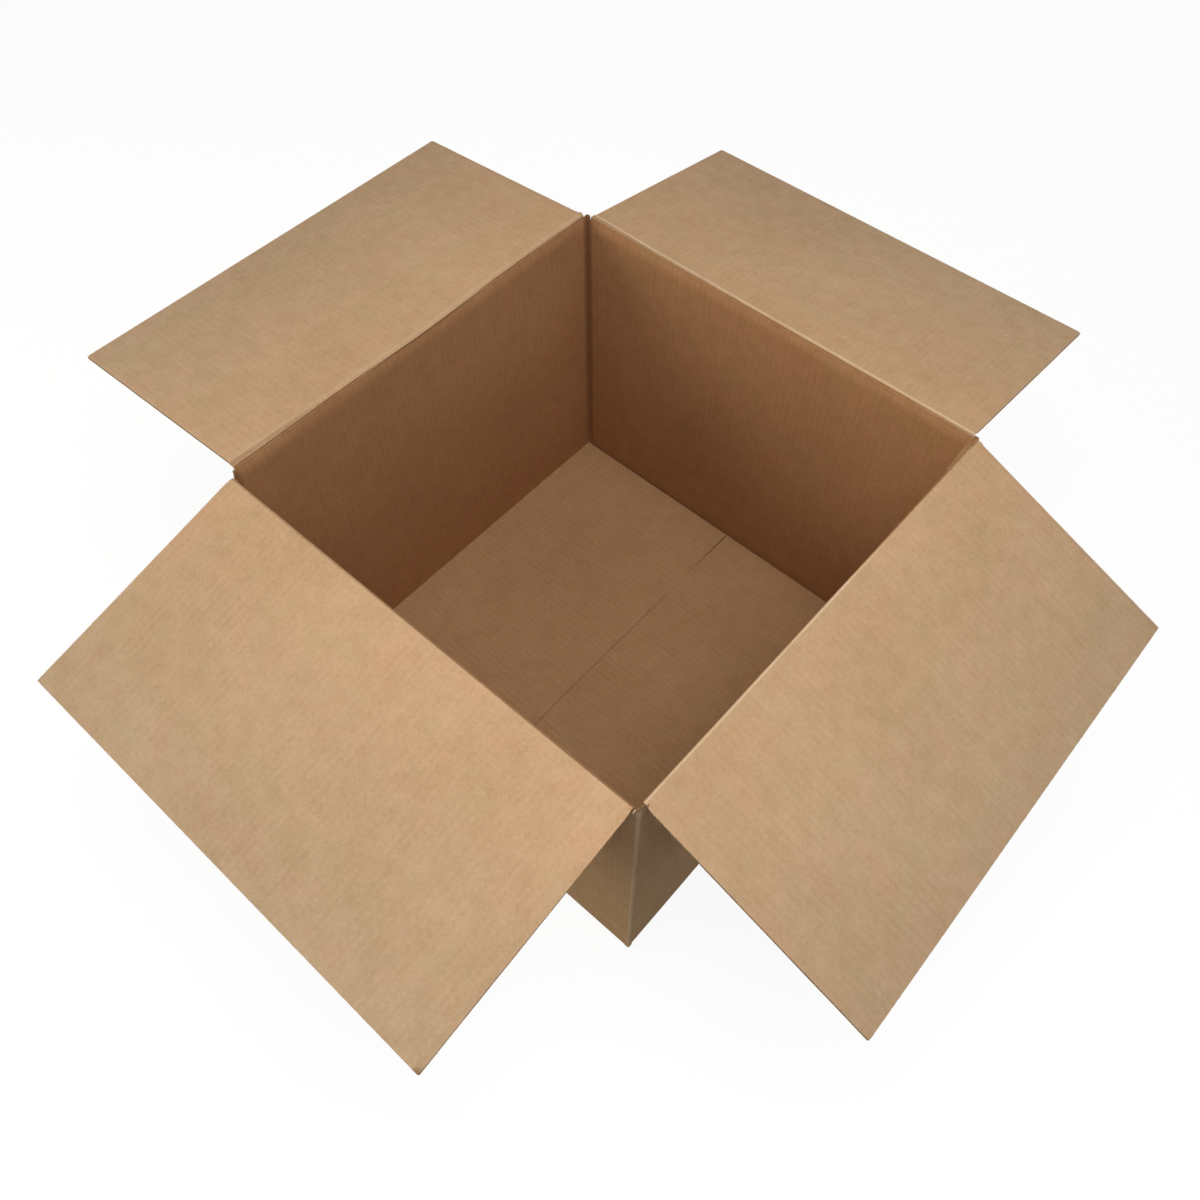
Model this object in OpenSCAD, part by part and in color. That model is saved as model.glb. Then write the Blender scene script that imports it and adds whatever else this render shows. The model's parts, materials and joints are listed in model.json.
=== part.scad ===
// Open corrugated shipping carton: a regular slotted box with four hinged top flaps.
// Millimetres. X runs from the left wall to the right wall, Y from the front wall to the
// back wall, Z up. The origin is at the centre of the face that the carton stands on.

/* [Carton] */
// Inside length, from the left wall to the right wall
inside_l = 508; // [300:1:700]
// Inside width, from the front wall to the back wall
inside_w = 508; // [300:1:700]
// Inside height, from the floor to the inner pair of closed flaps
inside_h = 381; // [150:1:600]
// Inside radius of the folded upright corners
fold_inner_r = 0.5; // [0.2:0.1:1.5]

/* [Board] */
// Thickness of the corrugated board
board_t = 4; // [3.5:0.1:5]
// Thickness of each flat liner
liner_t = 0.5; // [0.3:0.05:0.7]
// Thickness of the fluted medium between the liners
medium_t = 0.5; // [0.3:0.05:0.7]
// Pitch of the flutes
flute_pitch = 8; // [7:0.1:10]
// Half width of the flat on each flute crest
crest_flat = 0.96; // [0.6:0.02:1.4]

/* [Flaps] */
// Width of the slot that parts two flaps at a corner
slot_w = 7; // [6:0.5:14]
// How far a slot is cut below the lower creases
slot_over = 1; // [0.5:0.5:4]
// Gap left between two flaps that meet edge to edge
seam_gap = 1; // [0.5:0.1:3]
// Radius of the rounded bead along each crease
crease_r = 2.5; // [2.2:0.1:2.8]
// Gap between a crease and the flap that turns on it
hinge_gap = 0.3; // [0.2:0.05:0.6]
// How far below the horizontal a flap can be folded back
fold_back = 70; // [50:1:75]

/* [Pose at rest] */
// Droop of the front flap below the horizontal
front_droop = 15.2; // [-60:0.1:50]
// Droop of the back flap below the horizontal
back_droop = 9.4; // [-60:0.1:50]
// Droop of the left flap below the horizontal
left_droop = 4.3; // [-60:0.1:50]
// Droop of the right flap below the horizontal
right_droop = 22.9; // [-60:0.1:50]

/* [Glued corner joint] */
// Width of the glued tab inside the right wall
tab_w = 35; // [20:1:60]
// How much shorter the tab is at its free edge, at each end
tab_slant = 9; // [2:1:20]
// Gap from the tab to the floor below and to the crease above
tab_clear = 6; // [2:0.5:20]
// How far the raw edge of the right wall stops short of the corner
raw_edge_gap = 0.5; // [0.2:0.1:2]

/* [Hidden] */
$fn = 48;

kraft_inside = [0.76, 0.62, 0.45];
kraft_outside = [0.64, 0.50, 0.34];

// Distances between the middle planes of facing walls
span_x = inside_l + board_t;
span_y = inside_w + board_t;
half_x = span_x / 2;
half_y = span_y / 2;

// The front and back flaps fold in first, so their creases lie one board lower
floor_z = 2 * board_t;
inner_crease_z = floor_z + inside_h + board_t / 2;
outer_crease_z = inner_crease_z + board_t + hinge_gap;

// Upright corners end where the slots are cut
slot_top_z = inner_crease_z - slot_over;
slot_low_z = board_t / 2;

// The glued tab and its fold stop short of the floor and of the closed flaps
tab_low_z = floor_z + tab_clear;
tab_top_z = slot_top_z - tab_clear;

// Ends of the panels and flaps, one half slot short of each corner
panel_end_x = half_x - slot_w / 2;
panel_end_y = half_y - slot_w / 2;
reach_x = half_x - seam_gap / 2;
reach_y = half_y - seam_gap / 2;

// Root of a flap: clear of the wall and of the bead, bevelled so that it can be folded back
root_s = max(board_t / 2 + hinge_gap, (crease_r + hinge_gap) * cos(fold_back / 2));
root_n = root_s * tan(fold_back / 2);
crush_s = (root_s + board_t / 2 * sin(fold_back)) / cos(fold_back);

// Straight flanks of the flutes
flute_rise = board_t - 2 * liner_t - medium_t;
flank_lean = (flute_pitch / 2 - 2 * crest_flat) / flute_rise;
flank_half = medium_t / 2 * sqrt(1 + flank_lean * flank_lean);

// Overlap that welds the corner folds to the panels
weld = 1;
corner_leg = slot_w / 2 + board_t / 2 + weld;
fold_outer_r = fold_inner_r + board_t;

// Half width of the hollow beside a flute at height n from the middle of the board
function hollow_half(n) = flute_pitch / 4 + flank_lean * n - flank_half;

// One hollow between a liner and the medium, wide side up
module flute_hollow() {
    top = board_t / 2 - liner_t;
    low = liner_t + medium_t - board_t / 2;
    polygon([
        [-hollow_half(top), top],
        [hollow_half(top), top],
        [hollow_half(low), low],
        [-hollow_half(low), low]
    ]);
}

// Cut end of the board across the flutes: liner, fluted medium, liner
module board_section(run) {
    step = flute_pitch / 2;
    count = floor((run - flute_pitch) / step);
    difference() {
        square([run, board_t], center = true);
        for (i = [0 : count - 1])
            translate([(i - (count - 1) / 2) * step, 0])
                mirror([0, i % 2])
                    flute_hollow();
    }
}

// Side view of a wall with its crease bead above and its folded bottom flap below;
// x is measured outwards from the middle plane of the wall
module panel_profile(crease_z, flap_z, reach) {
    difference() {
        union() {
            translate([-board_t / 2, flap_z])
                square([board_t, crease_z - flap_z]);
            translate([-reach, flap_z])
                square([reach, board_t]);
            translate([0, crease_z])
                circle(crease_r);
        }
        bottom_fold_cut(flap_z);
    }
}

// Rounds the outside of a bottom fold about its inner corner
module bottom_fold_cut(flap_z) {
    difference() {
        translate([-board_t / 2, flap_z - board_t])
            square(2 * board_t);
        translate([-board_t / 2, flap_z + board_t])
            circle(board_t);
    }
}

// One wall panel, turned about Z from the right wall's place
module panel(turn, offset_x, lo, hi, crease_z, flap_z, reach) {
    rotate([0, 0, turn])
        translate([offset_x, hi, 0])
            rotate([90, 0, 0])
                linear_extrude(hi - lo)
                    panel_profile(crease_z, flap_z, reach);
}

// Square whose corner at the origin is rounded
module rounded_corner(size, r) {
    translate([-size, -size])
        square([size - r, size]);
    translate([-size, -size])
        square([size, size - r]);
    translate([-r, -r])
        circle(r);
}

// Plan of a folded upright corner, with the outer corner at the origin
module corner_plan() {
    difference() {
        rounded_corner(corner_leg, fold_outer_r);
        translate([-board_t, -board_t])
            rounded_corner(corner_leg, fold_inner_r);
    }
}

// Carries a plan to the outer corner in the direction of the signs, between two heights
module upright(sign_x, sign_y, low_z, top_z) {
    mirror([sign_x < 0 ? 1 : 0, 0, 0])
        mirror([0, sign_y < 0 ? 1 : 0, 0])
            translate([half_x + board_t / 2, half_y + board_t / 2, low_z])
                linear_extrude(top_z - low_z)
                    children();
}

// Plan of the fold at the glued corner, where the back wall turns in behind the right wall
module joint_fold() {
    translate([-board_t, 0])
        corner_plan();
}

// Plan of the walls' own ends there: the back wall up to its fold, the right wall's raw edge
module joint_ends() {
    translate([-board_t - corner_leg, -board_t])
        square([corner_leg - fold_outer_r, board_t]);
    translate([-board_t, -corner_leg])
        square([board_t, corner_leg - raw_edge_gap]);
}

// Tab of the back wall, glued flat to the inside of the right wall
module joint_tab() {
    fold_y = inside_w / 2 - fold_inner_r;
    free_y = inside_w / 2 - tab_w;
    translate([inside_l / 2 - board_t, 0, 0])
        rotate([90, 0, 90])
            linear_extrude(board_t)
                polygon([
                    [fold_y, tab_low_z],
                    [free_y, tab_low_z + tab_slant],
                    [free_y, tab_top_z - tab_slant],
                    [fold_y, tab_top_z]
                ]);
}

// Four walls and the glued double floor, folded from one sheet
module carton_body() {
    color(kraft_outside) {
        // right and left walls, with the inner pair of bottom flaps
        panel(0, half_x, -panel_end_y, panel_end_y, outer_crease_z, board_t, reach_x);
        panel(180, half_x, -panel_end_y, panel_end_y, outer_crease_z, board_t, reach_x);
        // front and back walls, with the outer pair; the back wall is shorter at the joint
        panel(270, half_y, -panel_end_x, panel_end_x, inner_crease_z, 0, reach_y);
        panel(90, half_y, board_t - panel_end_x, panel_end_x, inner_crease_z, 0, reach_y);
        upright(1, -1, slot_low_z, slot_top_z) corner_plan();
        upright(-1, -1, slot_low_z, slot_top_z) corner_plan();
        upright(-1, 1, slot_low_z, slot_top_z) corner_plan();
        upright(1, 1, slot_low_z, slot_top_z) joint_ends();
        upright(1, 1, tab_low_z, tab_top_z) joint_fold();
        joint_tab();
    }
}

// A flap lying flat from its crease at the origin, inside face up
module flap_board(run, depth) {
    rotate([90, 0, 0])
        linear_extrude(run, center = true)
            polygon([
                [root_s, board_t / 2],
                [crush_s + weld, board_t / 2],
                [crush_s + weld, -board_t / 2],
                [crush_s, -board_t / 2],
                [root_s, root_n]
            ]);
    translate([crush_s + weld, 0, 0])
        rotate([90, 0, 90])
            linear_extrude(depth - crush_s - weld)
                board_section(run);
}

// Hangs a flap on its crease, turned about Z from the right wall's place
module hung_flap(turn, offset_x, crease_z, droop, run, depth) {
    color(kraft_inside)
        rotate([0, 0, turn])
            translate([offset_x, 0, crease_z])
                rotate([0, droop, 0])
                    flap_board(run, depth);
}

module flap_front() {
    hung_flap(270, half_y, inner_crease_z, front_droop, 2 * panel_end_x, reach_y);
}

module flap_back() {
    hung_flap(90, half_y, inner_crease_z, back_droop, 2 * panel_end_x, reach_y);
}

module flap_left() {
    hung_flap(180, half_x, outer_crease_z, left_droop, 2 * panel_end_y, reach_x);
}

module flap_right() {
    hung_flap(0, half_x, outer_crease_z, right_droop, 2 * panel_end_y, reach_x);
}

carton_body();
flap_front();
flap_back();
flap_left();
flap_right();
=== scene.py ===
"""Finish of an open shipping carton: plain corrugated board, folded, slotted and glued.

The walls are one folded sheet. The bottom flaps and the four hinged top flaps are boards of their
own, each with an inside liner, a fluted medium and an outside liner. Lengths are in metres.
"""
import json
import math
import random

import bmesh
import bpy
from mathutils import Matrix, Vector, noise


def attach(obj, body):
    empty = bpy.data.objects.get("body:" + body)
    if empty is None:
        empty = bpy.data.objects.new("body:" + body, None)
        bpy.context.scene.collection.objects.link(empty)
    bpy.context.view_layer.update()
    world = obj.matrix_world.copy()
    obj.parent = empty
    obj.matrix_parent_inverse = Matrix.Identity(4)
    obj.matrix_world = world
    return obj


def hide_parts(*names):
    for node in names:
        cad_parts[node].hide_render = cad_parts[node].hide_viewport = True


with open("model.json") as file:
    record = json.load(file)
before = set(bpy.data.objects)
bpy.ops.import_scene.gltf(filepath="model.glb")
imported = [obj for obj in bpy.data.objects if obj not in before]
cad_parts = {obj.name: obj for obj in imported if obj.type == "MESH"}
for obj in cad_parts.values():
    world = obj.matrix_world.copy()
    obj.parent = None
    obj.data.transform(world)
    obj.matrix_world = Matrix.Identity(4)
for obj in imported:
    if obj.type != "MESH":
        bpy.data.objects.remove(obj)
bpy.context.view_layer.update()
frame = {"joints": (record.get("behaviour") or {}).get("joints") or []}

MM = 0.001
UP = Vector((0.0, 0.0, 1.0))

# Board
BOARD = 4.0 * MM
LINER = 0.45 * MM
MEDIUM = 0.35 * MM
FLUTE = 8.0 * MM
HALF_BOARD = BOARD / 2

# Cuts and folds
HALF_SLOT = 3.5 * MM
HALF_SEAM = 0.5 * MM
PIN_R = 2.03 * MM
RIM_DROP = 2.2 * MM
FOLD_R = 0.3 * MM
SHARP = math.radians(38.0)

# Glued corner joint
TAB_WIDTH = 35.0 * MM
TAB_SLANT = 9.0 * MM
TAB_LOW = 14.0 * MM
TAB_TOP = 384.0 * MM
RAW_EDGE = 257.5 * MM

# Finish of a face: its place in a piece's material list
FLAP_SIDE, WALL_SIDE, FLOOR_SIDE, OUTSIDE, CUT, CORE = range(6)

WALLS = ("right", "front", "left", "back")

# Walls with a plain upright fold after them; the glued joint follows the last wall
FOLDED = WALLS[:3]

creases = {joint["child"]: joint for joint in frame["joints"]}


def crease_of(wall):
    """The crease of a wall's top flap: a point on it and the way out from the carton."""
    point = Vector(creases[wall + "_flap"]["pos_m"])
    return point, Vector((point.x, point.y, 0.0)).normalized()


HALF_WIDTH = crease_of("right")[0].x
PANEL_END = HALF_WIDTH - HALF_SLOT
INNER_FACE = HALF_WIDTH - HALF_BOARD
SLOT_TOP = crease_of("front")[0].z - RIM_DROP
REACH = HALF_WIDTH - HALF_SEAM


def steps(low, high, count):
    """Even steps from one value to another, both ends included."""
    return [low + (high - low) * i / count for i in range(count + 1)]


def ease(value, low, high):
    """Rises smoothly from 0 at low to 1 at high."""
    t = min(max((value - low) / (high - low), 0.0), 1.0)
    return t * t * (3.0 - 2.0 * t)


def flute_lines(run, per_flute):
    """Lines across a board, with the same number on every flute."""
    return steps(-run / 2, run / 2, round(run / FLUTE) * per_flute)


def ripple(u, v, seed):
    """Uneven hand-made variation over a board, about -1 to 1."""
    return noise.noise(Vector((u, v, seed)))


def flute_dip(u, v, depth, seed):
    """How far a liner sinks between two flute crests, more in some places than in others."""
    hollow = 0.5 - 0.5 * math.cos(math.tau * u / FLUTE)
    return depth * hollow * (1.0 + 0.7 * ripple(u * 11.0, v * 9.0, seed))


def new_board():
    """An empty mesh with a flat map of the board, and marks for wear with painted sheen and for
    dirt with painted shade.
    """
    bm = bmesh.new()
    bm.loops.layers.uv.new("board")
    bm.verts.layers.float.new("wear_and_sheen")
    bm.verts.layers.float.new("dirt_and_shade")
    return bm


def lay_sheet(bm, across, along, place, wear_and_sheen=None, dirt_and_shade=None):
    """A sheet of paper: a grid with lines at the given flat distances, bent into place."""
    flat_map = bm.loops.layers.uv["board"]
    wear_and_sheen_mark = bm.verts.layers.float["wear_and_sheen"]
    dirt_and_shade_mark = bm.verts.layers.float["dirt_and_shade"]
    columns = len(across) - 1
    rows = len(along) - 1
    grid = bmesh.ops.create_grid(bm, x_segments=columns, y_segments=rows, size=0.5)
    faces = {}
    for vert in grid["verts"]:
        u = across[round((vert.co.x + 0.5) * columns)]
        v = along[round((vert.co.y + 0.5) * rows)]
        vert.co = place(u, v)
        if wear_and_sheen:
            vert[wear_and_sheen_mark] = wear_and_sheen(u, v)
        if dirt_and_shade:
            vert[dirt_and_shade_mark] = dirt_and_shade(u, v)
        for loop in vert.link_loops:
            loop[flat_map].uv = (u, v)
            faces[loop.face] = True
    return list(faces)


def thicken(bm, faces, thickness, skin, back, rim):
    """Gives a sheet its thickness, behind its face, and a finish to each side."""
    for face in faces:
        face.material_index = skin
    known = set(bm.faces)
    bm.normal_update()
    made = bmesh.ops.solidify(bm, geom=faces, thickness=thickness)
    for face in made["geom"]:
        if isinstance(face, bmesh.types.BMFace):
            face.material_index = back
            known.add(face)
    for face in bm.faces:
        if face not in known:
            face.material_index = rim


def make_piece(bm, name, body, nodes=()):
    """Turns a finished mesh into a piece of the carton that rides on a body."""
    bm.normal_update()
    used = sorted({face.material_index for face in bm.faces})
    for face in bm.faces:
        face.smooth = True
        face.material_index = used.index(face.material_index)
    for edge in bm.edges:
        edge.smooth = len(edge.link_faces) == 2 and edge.calc_face_angle(math.pi) < SHARP
    mesh = bpy.data.meshes.new(name)
    bm.to_mesh(mesh)
    bm.free()
    for finish in used:
        mesh.materials.append(FINISHES[finish])
    piece = bpy.data.objects.new(name, mesh)
    bpy.context.scene.collection.objects.link(piece)
    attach(piece, body)
    if nodes:
        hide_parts(*nodes)


# Materials


# Tints of the paper: its two kinds of patches, painted cooler light towards a flap's tip, and dirt
# with painted shade
COOL_TINT = (0.975, 1.0, 0.97, 1.0)
WARM_TINT = (1.025, 0.985, 0.98, 1.0)
TIP_LIGHT_TINT = (0.86, 0.95, 1.03, 1.0)
DIRT_AND_SHADE_TINT = (0.34, 0.29, 0.25, 1.0)


def paint(r, g, b):
    """A colour as seen on screen, for a shader socket."""
    def linear(c):
        c /= 255.0
        return c / 12.92 if c <= 0.04045 else ((c + 0.055) / 1.055) ** 2.4
    return (linear(r), linear(g), linear(b), 1.0)


def put(tree, kind, inputs=None, **settings):
    """A shader node with its settings, and values or links on its inputs."""
    node = tree.nodes.new(kind)
    for key, value in settings.items():
        setattr(node, key, value)
    for key, value in (inputs or {}).items():
        if isinstance(value, bpy.types.NodeSocket):
            tree.links.new(value, node.inputs[key])
        else:
            node.inputs[key].default_value = value
    return node


def sum_up(tree, kind, a, b=0.0, clamp=False):
    """The result of a Math node."""
    return put(tree, "ShaderNodeMath", {0: a, 1: b}, operation=kind, use_clamp=clamp).outputs[0]


def spread(tree, value, low, high, new_low=0.0, new_high=1.0):
    """Stretches a range of values to another range."""
    ends = {"Value": value, "From Min": low, "From Max": high,
            "To Min": new_low, "To Max": new_high}
    return put(tree, "ShaderNodeMapRange", ends).outputs[0]


def mingle(tree, share, a, b, kind="MIX"):
    """Mixes two colours."""
    node = put(tree, "ShaderNodeMix", {0: share, 6: a, 7: b}, data_type="RGBA", blend_type=kind)
    return node.outputs[2]


def clouds(tree, place, scale, detail, roughness):
    """Noise over a surface."""
    looks = {"Vector": place, "Scale": scale, "Detail": detail, "Roughness": roughness}
    return put(tree, "ShaderNodeTexNoise", looks).outputs[0]


def stretch(tree, place, across, along):
    """The flat map of a board, scaled by itself each way."""
    scaled = {"Vector": place, "Scale": (across, along, 1.0)}
    return put(tree, "ShaderNodeMapping", scaled).outputs[0]


def kraft_paper():
    """Node group: brown paper with clouds, mottling, grain, specks, painted shade along the
    flutes, painted cooler light towards a flap's tip, wear with painted highlights, and dirt with
    painted shade.
    """
    group = bpy.data.node_groups.new("kraft_paper", "ShaderNodeTree")
    for name in ("Tone", "Deep", "Pale"):
        group.interface.new_socket(name=name, in_out="INPUT", socket_type="NodeSocketColor")
    for name in ("FluteShade", "WearAndSheen", "Fade"):
        group.interface.new_socket(name=name, in_out="INPUT", socket_type="NodeSocketFloat")
    group.interface.new_socket(name="Color", in_out="OUTPUT", socket_type="NodeSocketColor")
    for name in ("Roughness", "Height"):
        group.interface.new_socket(name=name, in_out="OUTPUT", socket_type="NodeSocketFloat")
    given = put(group, "NodeGroupInput").outputs
    solid = put(group, "ShaderNodeTexCoord").outputs["Object"]
    flat = put(group, "ShaderNodeUVMap", uv_map="board").outputs["UV"]
    across, along = put(group, "ShaderNodeSeparateXYZ", {0: flat}).outputs[:2]

    cloud = clouds(group, solid, 7.0, 2.0, 0.5)
    mottle = clouds(group, solid, 55.0, 4.0, 0.6)
    floc = clouds(group, solid, 330.0, 3.0, 0.65)
    grain = clouds(group, solid, 1100.0, 2.0, 0.6)
    fibre = clouds(group, stretch(group, flat, 700.0, 240.0), 1.0, 3.0, 0.6)

    # Painted shade of the flute relief: darker lines across the flutes, broken into patches
    wave = sum_up(group, "COSINE", sum_up(group, "MULTIPLY", across, math.tau / FLUTE))
    patches = clouds(group, stretch(group, flat, 70.0, 16.0), 1.0, 3.0, 0.6)
    broken = spread(group, patches, 0.35, 0.65)
    lines = sum_up(group, "MULTIPLY", sum_up(group, "MULTIPLY", wave, broken), given["FluteShade"])

    shade = spread(group, cloud, 0.3, 0.7, 0.0, 0.18)
    for layer, share in ((mottle, 0.24), (floc, 0.26), (grain, 0.26), (fibre, 0.08)):
        shade = sum_up(group, "ADD", shade, spread(group, layer, 0.3, 0.7, 0.0, share))
    shade = sum_up(group, "ADD", shade, lines, clamp=True)
    colour = mingle(group, shade, given["Tone"], given["Deep"])

    warm = spread(group, clouds(group, solid, 30.0, 3.0, 0.6), 0.35, 0.65)
    tint = mingle(group, warm, COOL_TINT, WARM_TINT)
    colour = mingle(group, 1.0, colour, tint, "MULTIPLY")
    # Painted light: a flap turns greyer and cooler towards its tip
    far = sum_up(group, "MULTIPLY", spread(group, along, 0.03, 0.25), given["Fade"])
    colour = mingle(group, far, colour, TIP_LIGHT_TINT, "MULTIPLY")

    spots = put(group, "ShaderNodeTexVoronoi", {"Vector": solid, "Scale": 170.0})
    chance = put(group, "ShaderNodeSeparateColor", {0: spots.outputs["Color"]}).outputs
    near = spread(group, spots.outputs["Distance"], 0.07, 0.16, 1.0, 0.0)
    dark = sum_up(group, "MULTIPLY", near, sum_up(group, "GREATER_THAN", chance[0], 0.94))
    light = sum_up(group, "MULTIPLY", near, sum_up(group, "GREATER_THAN", chance[1], 0.985))
    colour = mingle(group, sum_up(group, "MULTIPLY", dark, 0.3), colour, given["Deep"], "MULTIPLY")
    colour = mingle(group, sum_up(group, "MULTIPLY", light, 0.3), colour, given["Pale"])

    # Worn paper with painted highlights and sheen on crests and ridges, mixed towards Pale
    wear_and_highlight = put(group, "ShaderNodeAttribute", attribute_name="wear_and_sheen").outputs["Fac"]
    wear_and_highlight = sum_up(group, "POWER", wear_and_highlight, 2.0)
    wear_and_highlight = sum_up(group, "MULTIPLY", wear_and_highlight, spread(group, floc, 0.35, 0.6, 0.45, 1.0))
    wear_and_highlight = sum_up(group, "MULTIPLY", wear_and_highlight, given["WearAndSheen"], clamp=True)
    colour = mingle(group, wear_and_highlight, colour, given["Pale"])

    # Dirt, and painted shade in valleys, bends, slits and the tops of folds, as a darker tint
    dirt_and_shade = put(group, "ShaderNodeAttribute", attribute_name="dirt_and_shade").outputs["Fac"]
    dirt_and_shade = sum_up(group, "MULTIPLY", dirt_and_shade, spread(group, floc, 0.3, 0.6, 0.6, 1.0), clamp=True)
    colour = mingle(group, dirt_and_shade, colour, DIRT_AND_SHADE_TINT, "MULTIPLY")

    height = sum_up(group, "ADD", sum_up(group, "MULTIPLY", floc, 0.6), fibre)
    height = sum_up(group, "ADD", sum_up(group, "MULTIPLY", grain, 0.5), height)
    rough = spread(group, mottle, 0.3, 0.7, 0.78, 0.9)
    put(group, "NodeGroupOutput", {"Color": colour, "Roughness": rough, "Height": height})
    return group


def kraft_finish(name, tone, deep, pale, lines=0.0, wear_and_sheen=0.0, tip_light=0.0, relief=0.0002):
    """A matte brown paper finish from the kraft_paper group."""
    material = bpy.data.materials.new(name)
    material.use_nodes = True
    tree = material.node_tree
    shader = tree.nodes["Principled BSDF"]
    paper = put(tree, "ShaderNodeGroup", node_tree=PAPER)
    for key, value in (("Tone", paint(*tone)), ("Deep", paint(*deep)), ("Pale", paint(*pale)),
                       ("FluteShade", lines), ("WearAndSheen", wear_and_sheen), ("Fade", tip_light)):
        paper.inputs[key].default_value = value
    bump = put(tree, "ShaderNodeBump", {"Height": paper.outputs["Height"], "Distance": relief,
                                        "Strength": 0.5})
    tree.links.new(paper.outputs["Color"], shader.inputs["Base Color"])
    tree.links.new(paper.outputs["Roughness"], shader.inputs["Roughness"])
    tree.links.new(bump.outputs["Normal"], shader.inputs["Normal"])
    shader.inputs["Specular IOR Level"].default_value = 0.25
    return material


PAPER = kraft_paper()
# The wall and floor finishes are darker copies of the flaps' inside liner: painted shade inside
# the carton. The outside finish is the outside liner's colour darkened as painted shade. The first
# number after the colours is the strength of painted shade along the flutes.
FINISHES = [
    kraft_finish("kraft_flap", (217, 182, 147), (183, 145, 108), (242, 219, 187), 0.06, 0.85, 0.7),
    kraft_finish("kraft_wall_painted_shade", (188, 142, 100), (149, 106, 71), (206, 172, 134), 0.08, 0.7),
    kraft_finish("kraft_floor_painted_shade", (197, 159, 122), (163, 126, 90), (220, 192, 158), 0.11),
    kraft_finish("kraft_outside", (178, 143, 102), (148, 111, 73), (216, 196, 170), 0.08, 0.8),
    kraft_finish("cut_edge", (178, 142, 102), (138, 104, 70), (214, 192, 160), relief=0.0003),
    kraft_finish("fluted_medium", (160, 124, 86), (126, 94, 62), (190, 160, 124), relief=0.0003),
]


# Walls, one sheet that runs clockwise round the carton from its raw edge


WASHBOARD = 0.10 * MM
WALL_BULGE = 0.5 * MM
WALL_LINES = 4
CORNER_CUT = 0.35 * MM
TAB_ROWS = steps(TAB_LOW, 368.0 * MM, 21) + steps(372.0 * MM, TAB_TOP, 3)
SHARED_ROWS = TAB_ROWS + [386.5 * MM, SLOT_TOP]
LOW_ROWS = [2.0 * MM, 8.3 * MM]
RISE_HEIGHT = 20.0 * MM
RAW_RISE = 4.4 * MM
RIM_LEAN = 13.0 * MM
RIM_END = 10.0 * MM
LIP_OUT = 0.55 * MM
RIM_ROLL = 0.5 * MM
RIM_ROLL_HEIGHT = 4.0 * MM
FLAKE_PATH = ((254.0, -255.0, 388.4), (253.6, -258.6, 392.2), (253.2, -259.8, 384.6))
FLAKE = 0.2 * MM
FLAKE_LENGTH = 9.0 * MM
FLAKE_WIDTH = 1.3 * MM
VALLEY = 1.9 * MM
VALLEY_FLAT = 2.0 * MM
VALLEY_WIDTH = 7.0 * MM

# How far the top of the upright fold after a wall stands up between its slots, and is blunted
FOLD_RISE = {"right": (4.4, 3.0, 0.0), "front": (0.0, -7.0, 0.0), "left": (4.4, 5.0, 5.0)}
FOLD_BLUNT = {"right": 0.0, "front": 2.2 * MM, "left": 0.4 * MM}
FOLD_LEAN = {"right": 0.7, "front": 0.2, "left": 0.6, "back": 0.8}


def wall_frame(wall):
    """A wall's inner face: x the way round the carton, y out from it, z up."""
    out = crease_of(wall)[1]
    along = out.cross(UP)
    origin = out * INNER_FACE
    return Matrix((along, out, UP)).transposed().to_4x4(), origin


def floor_level(wall):
    """Height of the upper face of a wall's bottom flap."""
    return 2 * BOARD if wall in ("left", "right") else BOARD


def wall_panel(bm, wall, start, end):
    """One wall from its bottom fold to its crease, as the inside face of the sheet."""
    turn, origin = wall_frame(wall)
    crease = crease_of(wall)[0].z
    level = floor_level(wall)
    bend = [FOLD_R * angle for angle in steps(0.0, math.pi / 2, 6)]
    rise = level + FOLD_R - bend[-1]
    heights = [h for h in LOW_ROWS[1:] + SHARED_ROWS if h > level + FOLD_R + MM]
    heights += [h for h in steps(SLOT_TOP, crease - RIM_DROP, 3) if h > SLOT_TOP + 0.1 * MM]
    rows = [b + rise for b in bend] + heights
    seed = 3.0 + WALLS.index(wall)

    def place(u, v):
        angle = min((v - rise) / FOLD_R, math.pi / 2)
        if angle < math.pi / 2 - 1e-6:
            y = FOLD_R * math.sin(angle) - FOLD_R
            z = level + FOLD_R - FOLD_R * math.cos(angle)
        else:
            y = 0.0
            z = v
        panel = ease(v, 0.02, 0.06) * (1.0 - ease(v, 0.36, 0.385))
        panel *= 1.0 - ease(abs(u), 0.235, 0.25)
        bulge = WALL_BULGE * ripple(u * 4.0, v * 4.0, seed)
        y += panel * (flute_dip(u, v, WASHBOARD, seed) + bulge)
        return origin + turn @ Vector((u, y, z))

    columns = steps(start, end, round((end - start) / FLUTE) * WALL_LINES)
    return lay_sheet(bm, columns, rows, place)


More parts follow.
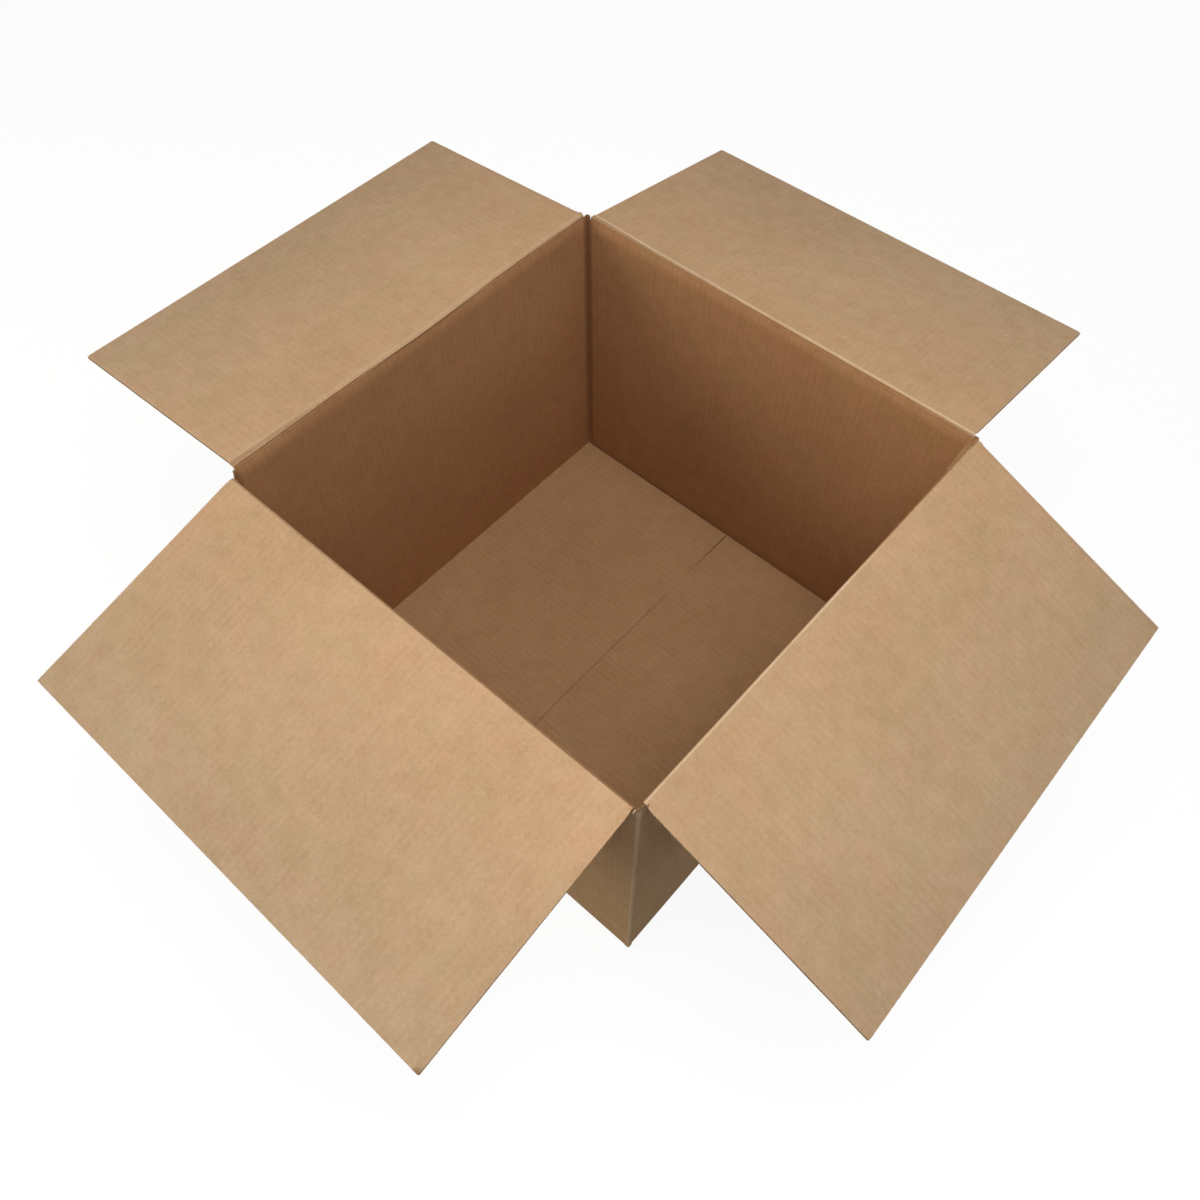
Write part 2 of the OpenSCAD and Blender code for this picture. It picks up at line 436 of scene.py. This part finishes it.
def wall_corner(bm, wall):
    """The upright fold between a wall and the next, with a ridge on each side of its crest."""
    turn, origin = wall_frame(wall)
    legs = [HALF_SLOT - HALF_BOARD, 0.7 * MM, CORNER_CUT]
    path = [-leg for leg in legs] + [0.0] + legs[::-1]
    ahead = turn @ Vector((1.0, 0.0, 0.0))
    aside = turn @ Vector((0.0, -1.0, 0.0))
    corner = origin + ahead * INNER_FACE

    def place(u, v):
        before, crest, after = FOLD_RISE[wall]
        rise = (crest + ((before if u < 0.0 else after) - crest) * abs(u) / legs[0]) * MM
        rise *= ease(v, SLOT_TOP - RISE_HEIGHT, SLOT_TOP)
        step = ahead * u if u < 0.0 else aside * u
        if u == 0.0:
            step = (aside - ahead) * CORNER_CUT / 2
        return corner + step + UP * (v + rise)

    # Painted sheen along the crest of the fold and its two ridges, on worn paper
    def wear_and_sheen(u, v):
        if abs(u) > CORNER_CUT:
            return 0.0
        patchy = 0.75 + 0.25 * ripple(v * 60.0, 0.0, WALLS.index(wall))
        return patchy * (0.6 if u == 0.0 else 0.95)

    # Painted shade on the top edge of the fold, in the slot
    def dirt_and_shade(u, v):
        return 0.9 if v == SLOT_TOP else 0.0

    return lay_sheet(bm, path, LOW_ROWS + SHARED_ROWS, place, wear_and_sheen, dirt_and_shade)


def raw_end(bm):
    """The end of the right wall, which covers the glued corner from outside."""
    turn, origin = wall_frame("right")

    def place(u, v):
        rise = RAW_RISE * ease(v, SLOT_TOP - RISE_HEIGHT, SLOT_TOP) * (u < -PANEL_END - 0.1 * MM)
        return origin + turn @ Vector((u, 0.0, v + rise))

    return lay_sheet(bm, steps(-RAW_EDGE, -PANEL_END, 2), LOW_ROWS + SHARED_ROWS, place)


def glued_tab(bm):
    """The end of the back wall, folded in and glued flat behind the right wall."""
    turn, origin = wall_frame("back")
    fold = INNER_FACE - BOARD
    start = PANEL_END - BOARD
    middle = (TAB_LOW + TAB_TOP) / 2
    free = fold - CORNER_CUT + TAB_WIDTH

    def place(u, v):
        if u <= fold - CORNER_CUT:
            return origin + turn @ Vector((u, 0.0, v))
        past = u - (fold - CORNER_CUT)
        slant = 1.0 - TAB_SLANT / (TAB_TOP - middle) * past / TAB_WIDTH
        return origin + turn @ Vector((fold, -CORNER_CUT - past, middle + (v - middle) * slant))

    path = [start, start + 0.8 * MM, fold - CORNER_CUT]
    path += steps(fold - CORNER_CUT + 0.01 * MM, free, 8)
    return lay_sheet(bm, path, TAB_ROWS, place)


def lean_share(height, top):
    """How far the inside liner leans back, from 0 well below the rim to 1 at its top."""
    return min(max((height - top) / RIM_LEAN + 1.0, 0.0), 1.0) ** 2


def press_rims(bm):
    """Leans the liners of every wall towards its crease, where the board is scored."""
    moves = {}
    for number, wall in enumerate(WALLS):
        crease, out = crease_of(wall)
        along = out.cross(UP)
        end_lean = (FOLD_LEAN[WALLS[number - 1]], FOLD_LEAN[wall])
        for vert in bm.verts:
            off = vert.co.dot(out) - HALF_WIDTH
            u = vert.co.dot(along)
            if HALF_BOARD - 0.1 * MM < off < HALF_BOARD + 0.3 * MM:
                top = crease.z - RIM_DROP
                move = out * -RIM_ROLL * ease(vert.co.z, top - RIM_ROLL_HEIGHT, top)
                moves[vert] = moves.get(vert, Vector()) + move
            if not -HALF_BOARD - 1.5 * MM < off < 0.0 or abs(u) > INNER_FACE + 2.2 * MM:
                continue
            lean = (HALF_BOARD + LIP_OUT) * lean_share(vert.co.z, crease.z - RIM_DROP)
            lean *= min(1.0 + (off + HALF_BOARD) / (1.5 * MM), 1.0)
            at_end = ease(abs(u), PANEL_END - RIM_END, PANEL_END)
            lean *= 1.0 + (end_lean[u > 0.0] - 1.0) * at_end
            moves[vert] = moves.get(vert, Vector()) + out * lean
    for vert, move in moves.items():
        vert.co += move


def press_corner(bm, wall):
    """Creases the upright fold after a wall: a scored valley inside, with painted shade, and a
    narrow crest outside.
    """
    out = crease_of(wall)[1]
    ahead = out.cross(UP)
    inner = (out + ahead) * INNER_FACE
    outer = (out + ahead) * (INNER_FACE + BOARD)
    wear_and_sheen_mark = bm.verts.layers.float["wear_and_sheen"]
    dirt_and_shade_mark = bm.verts.layers.float["dirt_and_shade"]
    for vert in bm.verts:
        off = Vector((vert.co.x, vert.co.y, 0.0)) - inner
        if off.dot(out) < 0.6 * MM and off.dot(ahead) < 0.6 * MM:
            if off.length > 2.0 * VALLEY_WIDTH:
                continue
            near = 1.0 - ease(off.length, VALLEY_FLAT, VALLEY_WIDTH)
            high = ease(vert.co.z, 0.02, 0.36)
            # Painted shade in the valley, darker towards the top
            vert[wear_and_sheen_mark] = 0.0
            vert[dirt_and_shade_mark] = near * (0.3 + 0.3 * high)
            depth = VALLEY * near * ease(vert.co.z, 0.0, 0.04)
            vert.co += (out + ahead) * depth * (1.0 - lean_share(vert.co.z, SLOT_TOP))
        elif off.dot(out) > MM and off.dot(ahead) > MM:
            gap = Vector((outer.x - vert.co.x, outer.y - vert.co.y, 0.0))
            vert.co += gap * (0.7 - 0.25 * ease(vert.co.z, 0.02, 0.36))
            vert.co -= (out + ahead) * FOLD_BLUNT[wall] * ease(vert.co.z, 0.365, 0.389)


def slot_tongue(bm):
    """The stub of the back wall beside the glued corner, below the slot."""
    turn, origin = wall_frame("back")
    start = PANEL_END - BOARD

    def place(u, v):
        rise = RAW_RISE * ease(v, TAB_TOP, SLOT_TOP) * (u > PANEL_END - 0.4 * MM)
        return origin + turn @ Vector((u, 0.15 * MM, v + rise))

    columns = steps(start, PANEL_END - 0.6 * MM, 3) + [PANEL_END - 0.3 * MM, PANEL_END + 1.4 * MM]
    return lay_sheet(bm, columns, [TAB_TOP, (TAB_TOP + SLOT_TOP) / 2, SLOT_TOP], place)


def torn_flake(bm):
    """A torn flake of liner that curls over the top edge of the near corner."""
    inside, over, tip = (Vector(spot) * MM for spot in FLAKE_PATH)

    def place(u, v):
        t = v / FLAKE_LENGTH
        spot = inside * (1.0 - t) ** 2 + over * 2.0 * t * (1.0 - t) + tip * t * t
        return spot + Vector((u, 0.25 * u, 0.0))

    def wear_and_sheen(u, v):
        return 1.0

    columns = [-FLAKE_WIDTH / 2, FLAKE_WIDTH / 2]
    sheet = lay_sheet(bm, columns, steps(0.0, FLAKE_LENGTH, 6), place, wear_and_sheen)
    thicken(bm, sheet, FLAKE, FLAP_SIDE, FLAP_SIDE, FLAP_SIDE)


def make_walls():
    """The four walls, their folded corners and the glued joint."""
    bm = new_board()
    faces = raw_end(bm)
    for wall in WALLS:
        end = PANEL_END - BOARD if wall == "back" else PANEL_END
        faces += wall_panel(bm, wall, -PANEL_END, end)
    for wall in FOLDED:
        faces += wall_corner(bm, wall)
    faces += glued_tab(bm)
    faces += slot_tongue(bm)
    bmesh.ops.remove_doubles(bm, verts=bm.verts, dist=0.005 * MM)
    thicken(bm, list(bm.faces), BOARD, WALL_SIDE, OUTSIDE, CUT)
    for wall in FOLDED:
        press_corner(bm, wall)
    press_rims(bm)
    torn_flake(bm)
    make_piece(bm, "carton_walls", "carton", ["carton_body"])


# Boards of the flaps


# Grid lines on each flute: inside liner, outside liner, medium
FLAP_LINES = 6
UNDER_LINES = 4
CORE_LINES = 8

# Rows of the grid along a flap and along an outer bottom flap
FLAP_ROWS = 34
BASE_ROWS = 8

# Root of a flap, its crushed part and the liners that fold at its crease
FLAP_START = 4.2 * MM
FLAP_WARP = 0.35 * MM
BOTTOM_DIP = 0.15 * MM
CRUSH_FROM = 2.3 * MM
CRUSH_TO = 12.2 * MM
ROOT_UNDER = 1.61 * MM
PINCH_WIDTH = 5.0 * MM
PINCH = 0.6 * MM
RAGGED_WIDTH = 3.0 * MM
BEAD_ROWS = 7
LIP_ROWS = 3
BEND_ROWS = 6
ROLL_STEP = 0.5 * MM
ROLL_START = -(LIP_ROWS + BEND_ROWS) * ROLL_STEP
BEAD_FROM = math.radians(312.0)
ROOT_LENGTH = 10.0 * MM
ROOT_ROWS = [step * MM for step in (0.8, 1.6, 2.4, 3.3, 4.3, 5.5, 7.0, 8.5)]
LOW_START = 3.2 * MM
CORE_BACK = 2.1 * MM
TRIM_LENGTH = 11.0 * MM

# How far the slot knife trimmed the root of each flap, and its whole side, at its two ends
ROOT_TRIM = {"right": (-2.0, 1.0), "front": (0.5, 1.2), "left": (-1.4, 4.2), "back": (2.4, 0.4)}
SIDE_TRIM = {"right": (0.9, 0.5), "front": (0.2, 0.0), "left": (3.8, -2.2), "back": (-1.6, 0.6)}

# Where the inside liner folds over each crease, out from the hinge line, at five places along it
FOLD_AT = {"right": (2.8, 1.9, 0.6, 0.2, -0.4), "front": (2.4, 2.5, 2.4, 2.9, 2.8),
           "left": (6.6, 2.4, -0.5, 2.0, 1.0), "back": (5.6, 3.1, 2.4, 2.1, 1.5)}
FOLD_BEND = {"right": 0.8 * MM, "front": 0.8 * MM, "left": 0.9 * MM, "back": 0.9 * MM}
FOLD_DROP = {"right": 0.25 * MM, "front": 0.4 * MM, "left": 0.7 * MM, "back": 0.3 * MM}

# The ridge beside each fold, raised by the scoring: how far off, how wide, how high, and how
# strong its wear and painted highlight are
RIDGE = {"right": (1.2, 1.1, 0.12, 1.1), "front": (0.6, 1.0, 0.0, 0.35),
         "left": (4.5, 2.6, 0.15, 0.55), "back": (2.4, 1.4, 0.22, 1.25)}

# Depth of the flute lines in the liner of each flap
FLAP_DIP = {"right": 0.15 * MM, "front": 0.05 * MM, "left": 0.09 * MM, "back": 0.08 * MM}

# Loose fibres: their thickness, and how many stand out of the two sides of each flap
FIBRE = 0.1 * MM
FIBRES = {"right": (16, 70), "front": (80, 14), "left": (18, 14), "back": (14, 18)}


def edge_pinch(u, run):
    """How far the cutting knife pressed the liners together along a board's sides."""
    return PINCH * ease(abs(u), run / 2 - PINCH_WIDTH, run / 2)


def ragged(u, seed):
    """The small unevenness of a cut edge."""
    return (0.16 * ripple(u * 160.0, 0.0, seed) + 0.12 * ripple(u * 900.0, 0.0, seed)) * MM


def board_rows(start, reach, count):
    """Rows along a board, closer together at its root and at its far edge."""
    near = [start + step * MM for step in (0.0, 1.3, 3.0, 5.5, 9.0)]
    far = [reach - step * MM for step in (3.0, 1.4, 0.5, 0.0)]
    return near + steps(near[-1] + 5.0 * MM, far[0] - 5.0 * MM, count) + far


class Board:
    """A corrugated board on its frame: x along the crease, y out from it, z up from its middle."""

    def __init__(self, turn, run, start, reach, seed, warp, dip, skin):
        self.turn = turn
        self.run = run
        self.start = start
        self.reach = reach
        self.seed = seed
        self.warp_size = warp
        self.dip = dip
        self.skin = skin

    def trim(self, u, v):
        """A point near the board's edges, on the uneven line of the cut."""
        side = 1.0 if u > 0.0 else -1.0
        near_side = ease(abs(u), self.run / 2 - RAGGED_WIDTH, self.run / 2)
        near_end = ease(v, self.reach - RAGGED_WIDTH, self.reach)
        x = u + side * ragged(v, self.seed + side) * near_side
        y = v + ragged(u, self.seed + 5.0) * near_end
        return x, y

    def under(self, v):
        """Height of the board's lower face."""
        return -HALF_BOARD

    def warp(self, u, v):
        """Slow unevenness of the whole board."""
        rise = ease(v, self.start + 15.0 * MM, self.start + 90.0 * MM)
        return self.warp_size * ripple(u * 5.0, v * 5.0, self.seed) * rise

    def fluted(self, u, v):
        """Where the flute lines show: not where the board is crushed or cut."""
        shown = ease(v, self.start + 2.0 * MM, self.start + 14.0 * MM)
        return shown * (1.0 - ease(abs(u), self.run / 2 - 8.0 * MM, self.run / 2))

    def top(self, u, v):
        """A point of the inside liner's face."""
        x, y = self.trim(u, v)
        z = HALF_BOARD + self.warp(u, v) - edge_pinch(u, self.run)
        dip = flute_dip(u, v, self.dip, self.seed)
        return self.turn @ Vector((x, y, z - dip * self.fluted(u, v)))

    def bottom(self, u, v):
        """A point of the outside liner's face."""
        x, y = self.trim(u, v)
        z = self.under(v) + self.warp(u, v) + edge_pinch(u, self.run)
        dip = flute_dip(u + FLUTE / 2, v, self.dip, self.seed)
        return self.turn @ Vector((x, y, z + dip * self.fluted(u, v)))

    def core(self, u, v):
        """A point of the fluted medium."""
        x, y = self.trim(u, v)
        pinch = edge_pinch(u, self.run)
        low = self.under(v) + LINER + pinch
        high = HALF_BOARD - LINER - pinch
        swing = max((high - low - MEDIUM) / 2, 0.0)
        wave = math.cos(math.tau * u / FLUTE)
        z = (high + low + MEDIUM) / 2 + swing * wave + self.warp(u, v)
        return self.turn @ Vector((x, y, z))

    def wear_and_sheen(self, u, v):
        """Worn paper and painted sheen: none on a plain board."""
        return 0.0

    def dirt_and_shade(self, u, v):
        """Dirt and painted shade: none on a plain board."""
        return 0.0

    def fray(self, bm, side, count):
        """Loose fibres on one side of the inside liner, each a thin curved ribbon."""
        draw = random.Random(int(self.seed) * 10 + side)
        turn = self.turn.to_3x3()
        faces = []
        for _ in range(count):
            root = self.top(side * self.run / 2, draw.uniform(8.0 * MM, self.reach - 2.0 * MM))
            length = draw.uniform(0.5, 1.0) * draw.uniform(0.7, 1.6) * MM
            width = draw.uniform(0.14, 0.36) * MM
            lean = draw.uniform(-0.9, 0.9)
            curl = draw.uniform(-0.6, 0.5)

            def place(u, v):
                x = v * math.cos(lean) - u * math.sin(lean)
                y = v * math.sin(lean) + u * math.cos(lean)
                return root + turn @ Vector((side * x, y, curl * v * v / length - 0.14 * MM))

            faces += lay_sheet(bm, [-width / 2, width / 2], steps(-0.3 * MM, length, 3), place)
        thicken(bm, faces, FIBRE, self.skin, self.skin, self.skin)

    def build(self, rows, top_rows, low_start, core_start):
        """The two liners and the medium between them, each with its thickness."""
        bm = new_board()
        lines = flute_lines(self.run, FLAP_LINES)
        sheet = lay_sheet(bm, lines, top_rows, self.top, self.wear_and_sheen, self.dirt_and_shade)
        thicken(bm, sheet, LINER, self.skin, CORE, CUT)
        lines = [-u for u in flute_lines(self.run, UNDER_LINES)]
        sheet = lay_sheet(bm, lines, board_rows(low_start, self.reach, rows // 3), self.bottom)
        thicken(bm, sheet, LINER, OUTSIDE, CORE, CUT)
        core_rows = [core_start + step * MM for step in (0.0, 4.0, 8.0)]
        core_rows += steps(30.0 * MM, self.reach - 4.0 * MM, 5) + [self.reach]
        sheet = lay_sheet(bm, flute_lines(self.run, CORE_LINES), core_rows, self.core)
        thicken(bm, sheet, MEDIUM, CORE, CORE, CUT)
        return bm


def fold_at(wall, u):
    """How far out from the hinge line the inside liner folds, at one place along a crease."""
    spot = (u / PANEL_END + 1.0) * 2.0
    first = min(max(int(spot), 0), 3)
    near, far = FOLD_AT[wall][first:first + 2]
    return (near + (far - near) * ease(spot, first, first + 1)) * MM


class Flap(Board):
    """A hinged top flap, whose inside liner folds over the crease of its wall."""

    def __init__(self, wall, turn, droop, seed):
        super().__init__(turn, 2 * PANEL_END, FLAP_START, REACH, seed, FLAP_WARP,
                         FLAP_DIP[wall], FLAP_SIDE)
        self.wall = wall
        self.bead_end = math.pi + math.asin(LIP_OUT / PIN_R) + droop

    def trim(self, u, v):
        x, y = super().trim(u, v)
        end = 0 if u < 0.0 else 1
        near = ease(abs(u), self.run / 2 - 12.0 * MM, self.run / 2)
        cut = ROOT_TRIM[self.wall][end] * (1.0 - ease(v, 0.0, TRIM_LENGTH))
        cut += SIDE_TRIM[self.wall][end] * (1.0 - 0.6 * v / self.reach)
        return x - math.copysign(cut * MM * near, u), y

    def under(self, v):
        if v >= CRUSH_TO:
            return -HALF_BOARD
        return ROOT_UNDER - (v - CRUSH_FROM) * (ROOT_UNDER + HALF_BOARD) / (CRUSH_TO - CRUSH_FROM)

    def ridge(self, u, out):
        """How near a point of the liner is to the ridge beside the fold, from 0 to 1."""
        away, width = RIDGE[self.wall][:2]
        return math.exp(-((out - fold_at(self.wall, u) - away * MM) / (width * MM)) ** 2)

    def crease_line(self, u, v):
        """The inside liner at the crease, out from the hinge and up: lip, bend, crushed root."""
        bend = FOLD_BEND[self.wall]
        start = fold_at(self.wall, u) + 0.6 * bend
        drop = FOLD_DROP[self.wall] * (1.0 - max(start, 0.0) / ROOT_LENGTH)
        if v >= 0.0:
            out = start + (ROOT_LENGTH - start) * v / ROOT_LENGTH
            up = HALF_BOARD - drop * (1.0 - v / ROOT_LENGTH) ** 2
            return out, up + RIDGE[self.wall][2] * MM * self.ridge(u, out) * ease(v, 0.0, 1.5 * MM)
        row = (v - ROLL_START) / ROLL_STEP
        met = ease(fold_at(self.wall, u), 1.0 * MM, 3.0 * MM)
        met = self.bead_end + (BEAD_FROM - self.bead_end) * met
        end_out, end_up = (LINER / 2 - PIN_R) * math.sin(met), (PIN_R - LINER / 2) * math.cos(met)
        centre = HALF_BOARD - drop - bend
        away = math.hypot(end_out - start, end_up - centre)
        turn = math.atan2(end_up - centre, end_out - start) + math.asin(bend / away)
        turn = turn % math.tau - math.pi if turn > 0.0 else turn + math.pi
        angle = turn * (1.0 - max(row - LIP_ROWS, 0.0) / BEND_ROWS)
        share = min(row / LIP_ROWS, 1.0)
        out, up = start - bend * math.sin(angle), centre + bend * math.cos(angle)
        return end_out + (out - end_out) * share, end_up + (up - end_up) * share

    def add_bead(self, bm):
        """The outside liner, rolled round the crease from the wall to the flap's lower face."""
        def place(u, v):
            x = self.trim(u, 0.0)[0]
            return self.turn @ Vector((x, -PIN_R * math.sin(v), PIN_R * math.cos(v)))

        rows = steps(BEAD_FROM, self.bead_end, BEAD_ROWS)
        sheet = lay_sheet(bm, flute_lines(self.run, 1), rows, place)
        thicken(bm, sheet, LINER, OUTSIDE, WALL_SIDE, CUT)

    def top(self, u, v):
        if v >= ROOT_LENGTH:
            return super().top(u, v)
        x = self.trim(u, max(v, 0.0))[0]
        out, up = self.crease_line(u, v)
        up -= edge_pinch(u, self.run) * ease(v, 0.0, ROOT_LENGTH)
        up -= flute_dip(u, v, self.dip, self.seed) * self.fluted(u, v)
        return self.turn @ Vector((x, out, up))

    def clear_of_fold(self, u, v):
        """A distance along the board, moved out where it would meet the folded liner."""
        short = max(fold_at(self.wall, u) + 1.3 * MM - LOW_START, 0.0)
        return v + short * (1.0 - ease(v, LOW_START, 14.0 * MM))

    def bottom(self, u, v):
        return super().bottom(u, self.clear_of_fold(u, v))

    def core(self, u, v):
        return super().core(u, self.clear_of_fold(u, v))

    # Worn paper and a painted highlight along the ridge beside the fold; on the right flap only
    # towards its front end
    def wear_and_sheen(self, u, v):
        if v > 2.0 * ROOT_LENGTH:
            return 0.0
        out = self.crease_line(u, v)[0] if v < ROOT_LENGTH else v
        wear_and_highlight = RIDGE[self.wall][3] * self.ridge(u, out) * (v > ROLL_START / 2)
        if self.wall == "right":
            wear_and_highlight *= ease(u, -0.15, -0.02)
        return wear_and_highlight * (0.8 + 0.2 * ripple(u * 25.0, 0.0, self.seed))

    # Painted shade on the rolled lip and the bend, at the left flap's root towards its front end,
    # and as the shadow in the slit at the right flap's back end; a real dirt smudge on the front
    # flap's tip
    def dirt_and_shade(self, u, v):
        row = (v - ROLL_START) / ROLL_STEP - LIP_ROWS
        shade_and_smudge = 0.4 * (1.0 - ease(row, -1.0, BEND_ROWS - 1.0))
        if self.wall == "left":
            front_end = 1.0 - ease(u, -0.2, -0.12)
            shade_and_smudge = max(shade_and_smudge, 0.4 * (1.0 - ease(v, 1.0 * MM, 6.0 * MM)) * front_end)
        if self.wall == "right":
            back_end = 1.0 - ease(u, -0.243, -0.226)
            shade_and_smudge = max(shade_and_smudge, 0.85 * back_end * (1.0 - ease(row, 1.0, BEND_ROWS)))
        if self.wall == "front":
            off = math.hypot(u + self.run / 2, (v - self.reach) * 1.6)
            shade_and_smudge = max(shade_and_smudge, 0.75 * (1.0 - ease(off, 2.0 * MM, 9.0 * MM)))
        return shade_and_smudge


class BottomFlap(Board):
    """A glued bottom flap, whose seam is closed in the middle and gapes a little at its ends."""

    def trim(self, u, v):
        x = super().trim(u, v)[0]
        spot = self.turn @ Vector((u, v, 0.0))
        cross = spot.y if self.skin == FLOOR_SIDE else spot.x
        gape = 0.03 + 0.75 * ease(cross, 0.155, 0.26) + 0.24 * (1.0 - ease(cross, 0.11, 0.14))
        wander = (0.3 * ripple(cross * 30.0, 0.0, 9.0) - 1.7) * MM
        wander = math.copysign(wander, wander * -(spot.x if self.skin == FLOOR_SIDE else spot.y))
        moved = HALF_SEAM - gape * MM + wander
        y = v + moved * ease(v, self.reach - 20.0 * MM, self.reach)
        if self.skin == FLOOR_SIDE and spot.y > 0.0:
            short = (0.3 + 1.3 * (spot.x / HALF_WIDTH + 1.0)) * MM
            x -= math.copysign(short * ease(abs(u), self.run / 2 - 14.0 * MM, self.run / 2), u)
        return x, y


def board_frame(origin, along, face):
    """A board's frame: x along its crease, y away from the crease, z up from the board."""
    turn = Matrix((along.cross(face), along, face)).transposed().to_4x4()
    return Matrix.Translation(origin) @ turn


def make_flaps():
    """The four hinged top flaps, as they hang in the photograph."""
    roll_rows = steps(ROLL_START, 0.0, LIP_ROWS + BEND_ROWS)
    for number, wall in enumerate(WALLS):
        body = wall + "_flap"
        point, out = crease_of(wall)
        droop = math.radians(creases[body]["range_deg"][1] - 180.0)
        along = out * math.cos(droop) - UP * math.sin(droop)
        face = out * math.sin(droop) + UP * math.cos(droop)
        flap = Flap(wall, board_frame(point, along, face), droop, 20.0 + 7.0 * number)
        rows = roll_rows + ROOT_ROWS + board_rows(ROOT_LENGTH, flap.reach, FLAP_ROWS)
        bm = flap.build(FLAP_ROWS, rows, LOW_START, LOW_START + CORE_BACK)
        flap.add_bead(bm)
        for side, count in zip((-1, 1), FIBRES[wall]):
            flap.fray(bm, side, count)
        make_piece(bm, body + "_board", body, ["flap_" + wall])


def make_bottom():
    """The glued bottom flaps: the inner pair makes the floor, the outer pair the base."""
    for number, wall in enumerate(WALLS):
        out = crease_of(wall)[1]
        floor = wall in ("left", "right")
        origin = out * (INNER_FACE - FOLD_R) + UP * (floor_level(wall) - HALF_BOARD)
        reach = INNER_FACE - FOLD_R - HALF_SEAM
        skin = FLOOR_SIDE if floor else WALL_SIDE
        board = BottomFlap(board_frame(origin, -out, UP), 2 * PANEL_END, 0.0, reach,
                           60.0 + 7.0 * number, 0.0, BOTTOM_DIP, skin)
        count = FLAP_ROWS if floor else BASE_ROWS
        bm = board.build(count, board_rows(0.0, reach, count), 0.0, 0.0)
        make_piece(bm, wall + ("_floor_board" if floor else "_base_board"), "carton")


# Stage, light and camera


CAMERA_PLACE = (0.44447, -0.51606, 1.18538)
CAMERA_TURN = 41.406
CAMERA_TILT = 56.998
CAMERA_LENS = 32.109
WORLD_LIGHT = 0.16
SKY = (0.9, 0.94, 1.0, 1.0)
LAMP_TARGET = Vector((0.0, 0.0, 0.3))

# Square lamps: name, place, size, watts, colour
LAMPS = (
    ("overhead_lamp", (0.34, -0.14, 1.6), 1.0, 11.4, (1.0, 0.94, 0.85)),
    ("left_front_lamp", (-1.92, -1.92, 1.27), 1.6, 28.0, (1.0, 0.93, 0.80)),
    ("front_lamp", (0.0, -2.72, 1.27), 1.6, 14.5, (0.88, 0.96, 1.0)),
    ("right_lamp", (2.60, 0.0, 1.50), 1.6, 11.0, (0.8, 0.92, 1.0)),
    ("back_lamp", (0.0, 2.46, 1.72), 1.6, 6.4, (1.0, 0.92, 0.80)),
)


def looked_at(tree):
    """1 where the camera, a reflection or glass shows a surface, 0 where it only gives light."""
    rays = put(tree, "ShaderNodeLightPath").outputs
    share = sum_up(tree, "ADD", rays["Is Camera Ray"], rays["Is Glossy Ray"])
    return sum_up(tree, "ADD", share, rays["Is Transmission Ray"], clamp=True)


def make_stage():
    """A white floor that keeps the carton's shadow, and a white surround."""
    bm = bmesh.new()
    bmesh.ops.create_circle(bm, cap_ends=True, segments=96, radius=12.0)
    bmesh.ops.translate(bm, verts=bm.verts, vec=(0.0, 0.0, -0.0002))
    mesh = bpy.data.meshes.new("studio_floor")
    bm.to_mesh(mesh)
    bm.free()
    floor = bpy.data.objects.new("studio_floor", mesh)
    bpy.context.scene.collection.objects.link(floor)
    material = bpy.data.materials.new("studio_floor")
    material.use_nodes = True
    tree = material.node_tree
    tree.nodes.clear()
    bounce = put(tree, "ShaderNodeBsdfDiffuse", {"Color": (0.55, 0.55, 0.55, 1.0)})
    paper = put(tree, "ShaderNodeBsdfDiffuse", {"Color": (0.16, 0.16, 0.16, 1.0)})
    glow = put(tree, "ShaderNodeEmission", {"Strength": 0.9})
    shown = put(tree, "ShaderNodeAddShader", {0: paper.outputs[0], 1: glow.outputs[0]})
    both = put(tree, "ShaderNodeMixShader",
               {0: looked_at(tree), 1: bounce.outputs[0], 2: shown.outputs[0]})
    put(tree, "ShaderNodeOutputMaterial", {"Surface": both.outputs[0]})
    mesh.materials.append(material)

    world = bpy.data.worlds.new("studio")
    bpy.context.scene.world = world
    world.use_nodes = True
    tree = world.node_tree
    tree.nodes.clear()
    sky = put(tree, "ShaderNodeBackground", {"Color": SKY, "Strength": WORLD_LIGHT})
    white = put(tree, "ShaderNodeBackground", {"Color": (1.0, 1.0, 1.0, 1.0), "Strength": 1.0})
    shown = put(tree, "ShaderNodeMixShader",
                {0: looked_at(tree), 1: sky.outputs[0], 2: white.outputs[0]})
    put(tree, "ShaderNodeOutputWorld", {"Surface": shown.outputs[0]})


def softbox(name, place, size, watts, colour):
    """A square studio lamp that faces the carton's opening."""
    lamp = bpy.data.lights.new(name, "AREA")
    lamp.shape = "SQUARE"
    lamp.size = size
    lamp.energy = watts
    lamp.color = colour
    holder = bpy.data.objects.new(name, lamp)
    holder.location = place
    holder.visible_camera = False
    aim = LAMP_TARGET - Vector(place)
    holder.rotation_euler = aim.to_track_quat("-Z", "Y").to_euler()
    bpy.context.scene.collection.objects.link(holder)


def make_camera():
    """The camera, where the photograph was taken from."""
    turn, tilt = math.radians(CAMERA_TURN), math.radians(CAMERA_TILT)
    level = math.cos(tilt)
    back = Vector((math.sin(turn) * level, -math.cos(turn) * level, math.sin(tilt)))
    lens = bpy.data.cameras.new("camera")
    lens.sensor_width = 36.0
    lens.lens = CAMERA_LENS
    lens.clip_start = 0.01
    camera = bpy.data.objects.new("camera", lens)
    camera.location = CAMERA_PLACE
    camera.rotation_euler = (-back).to_track_quat("-Z", "Y").to_euler()
    bpy.context.scene.collection.objects.link(camera)
    bpy.context.scene.camera = camera


make_camera()
make_walls()
make_flaps()
make_bottom()
make_stage()
for lamp in LAMPS:
    softbox(*lamp)
bpy.context.scene.view_settings.view_transform = "Standard"
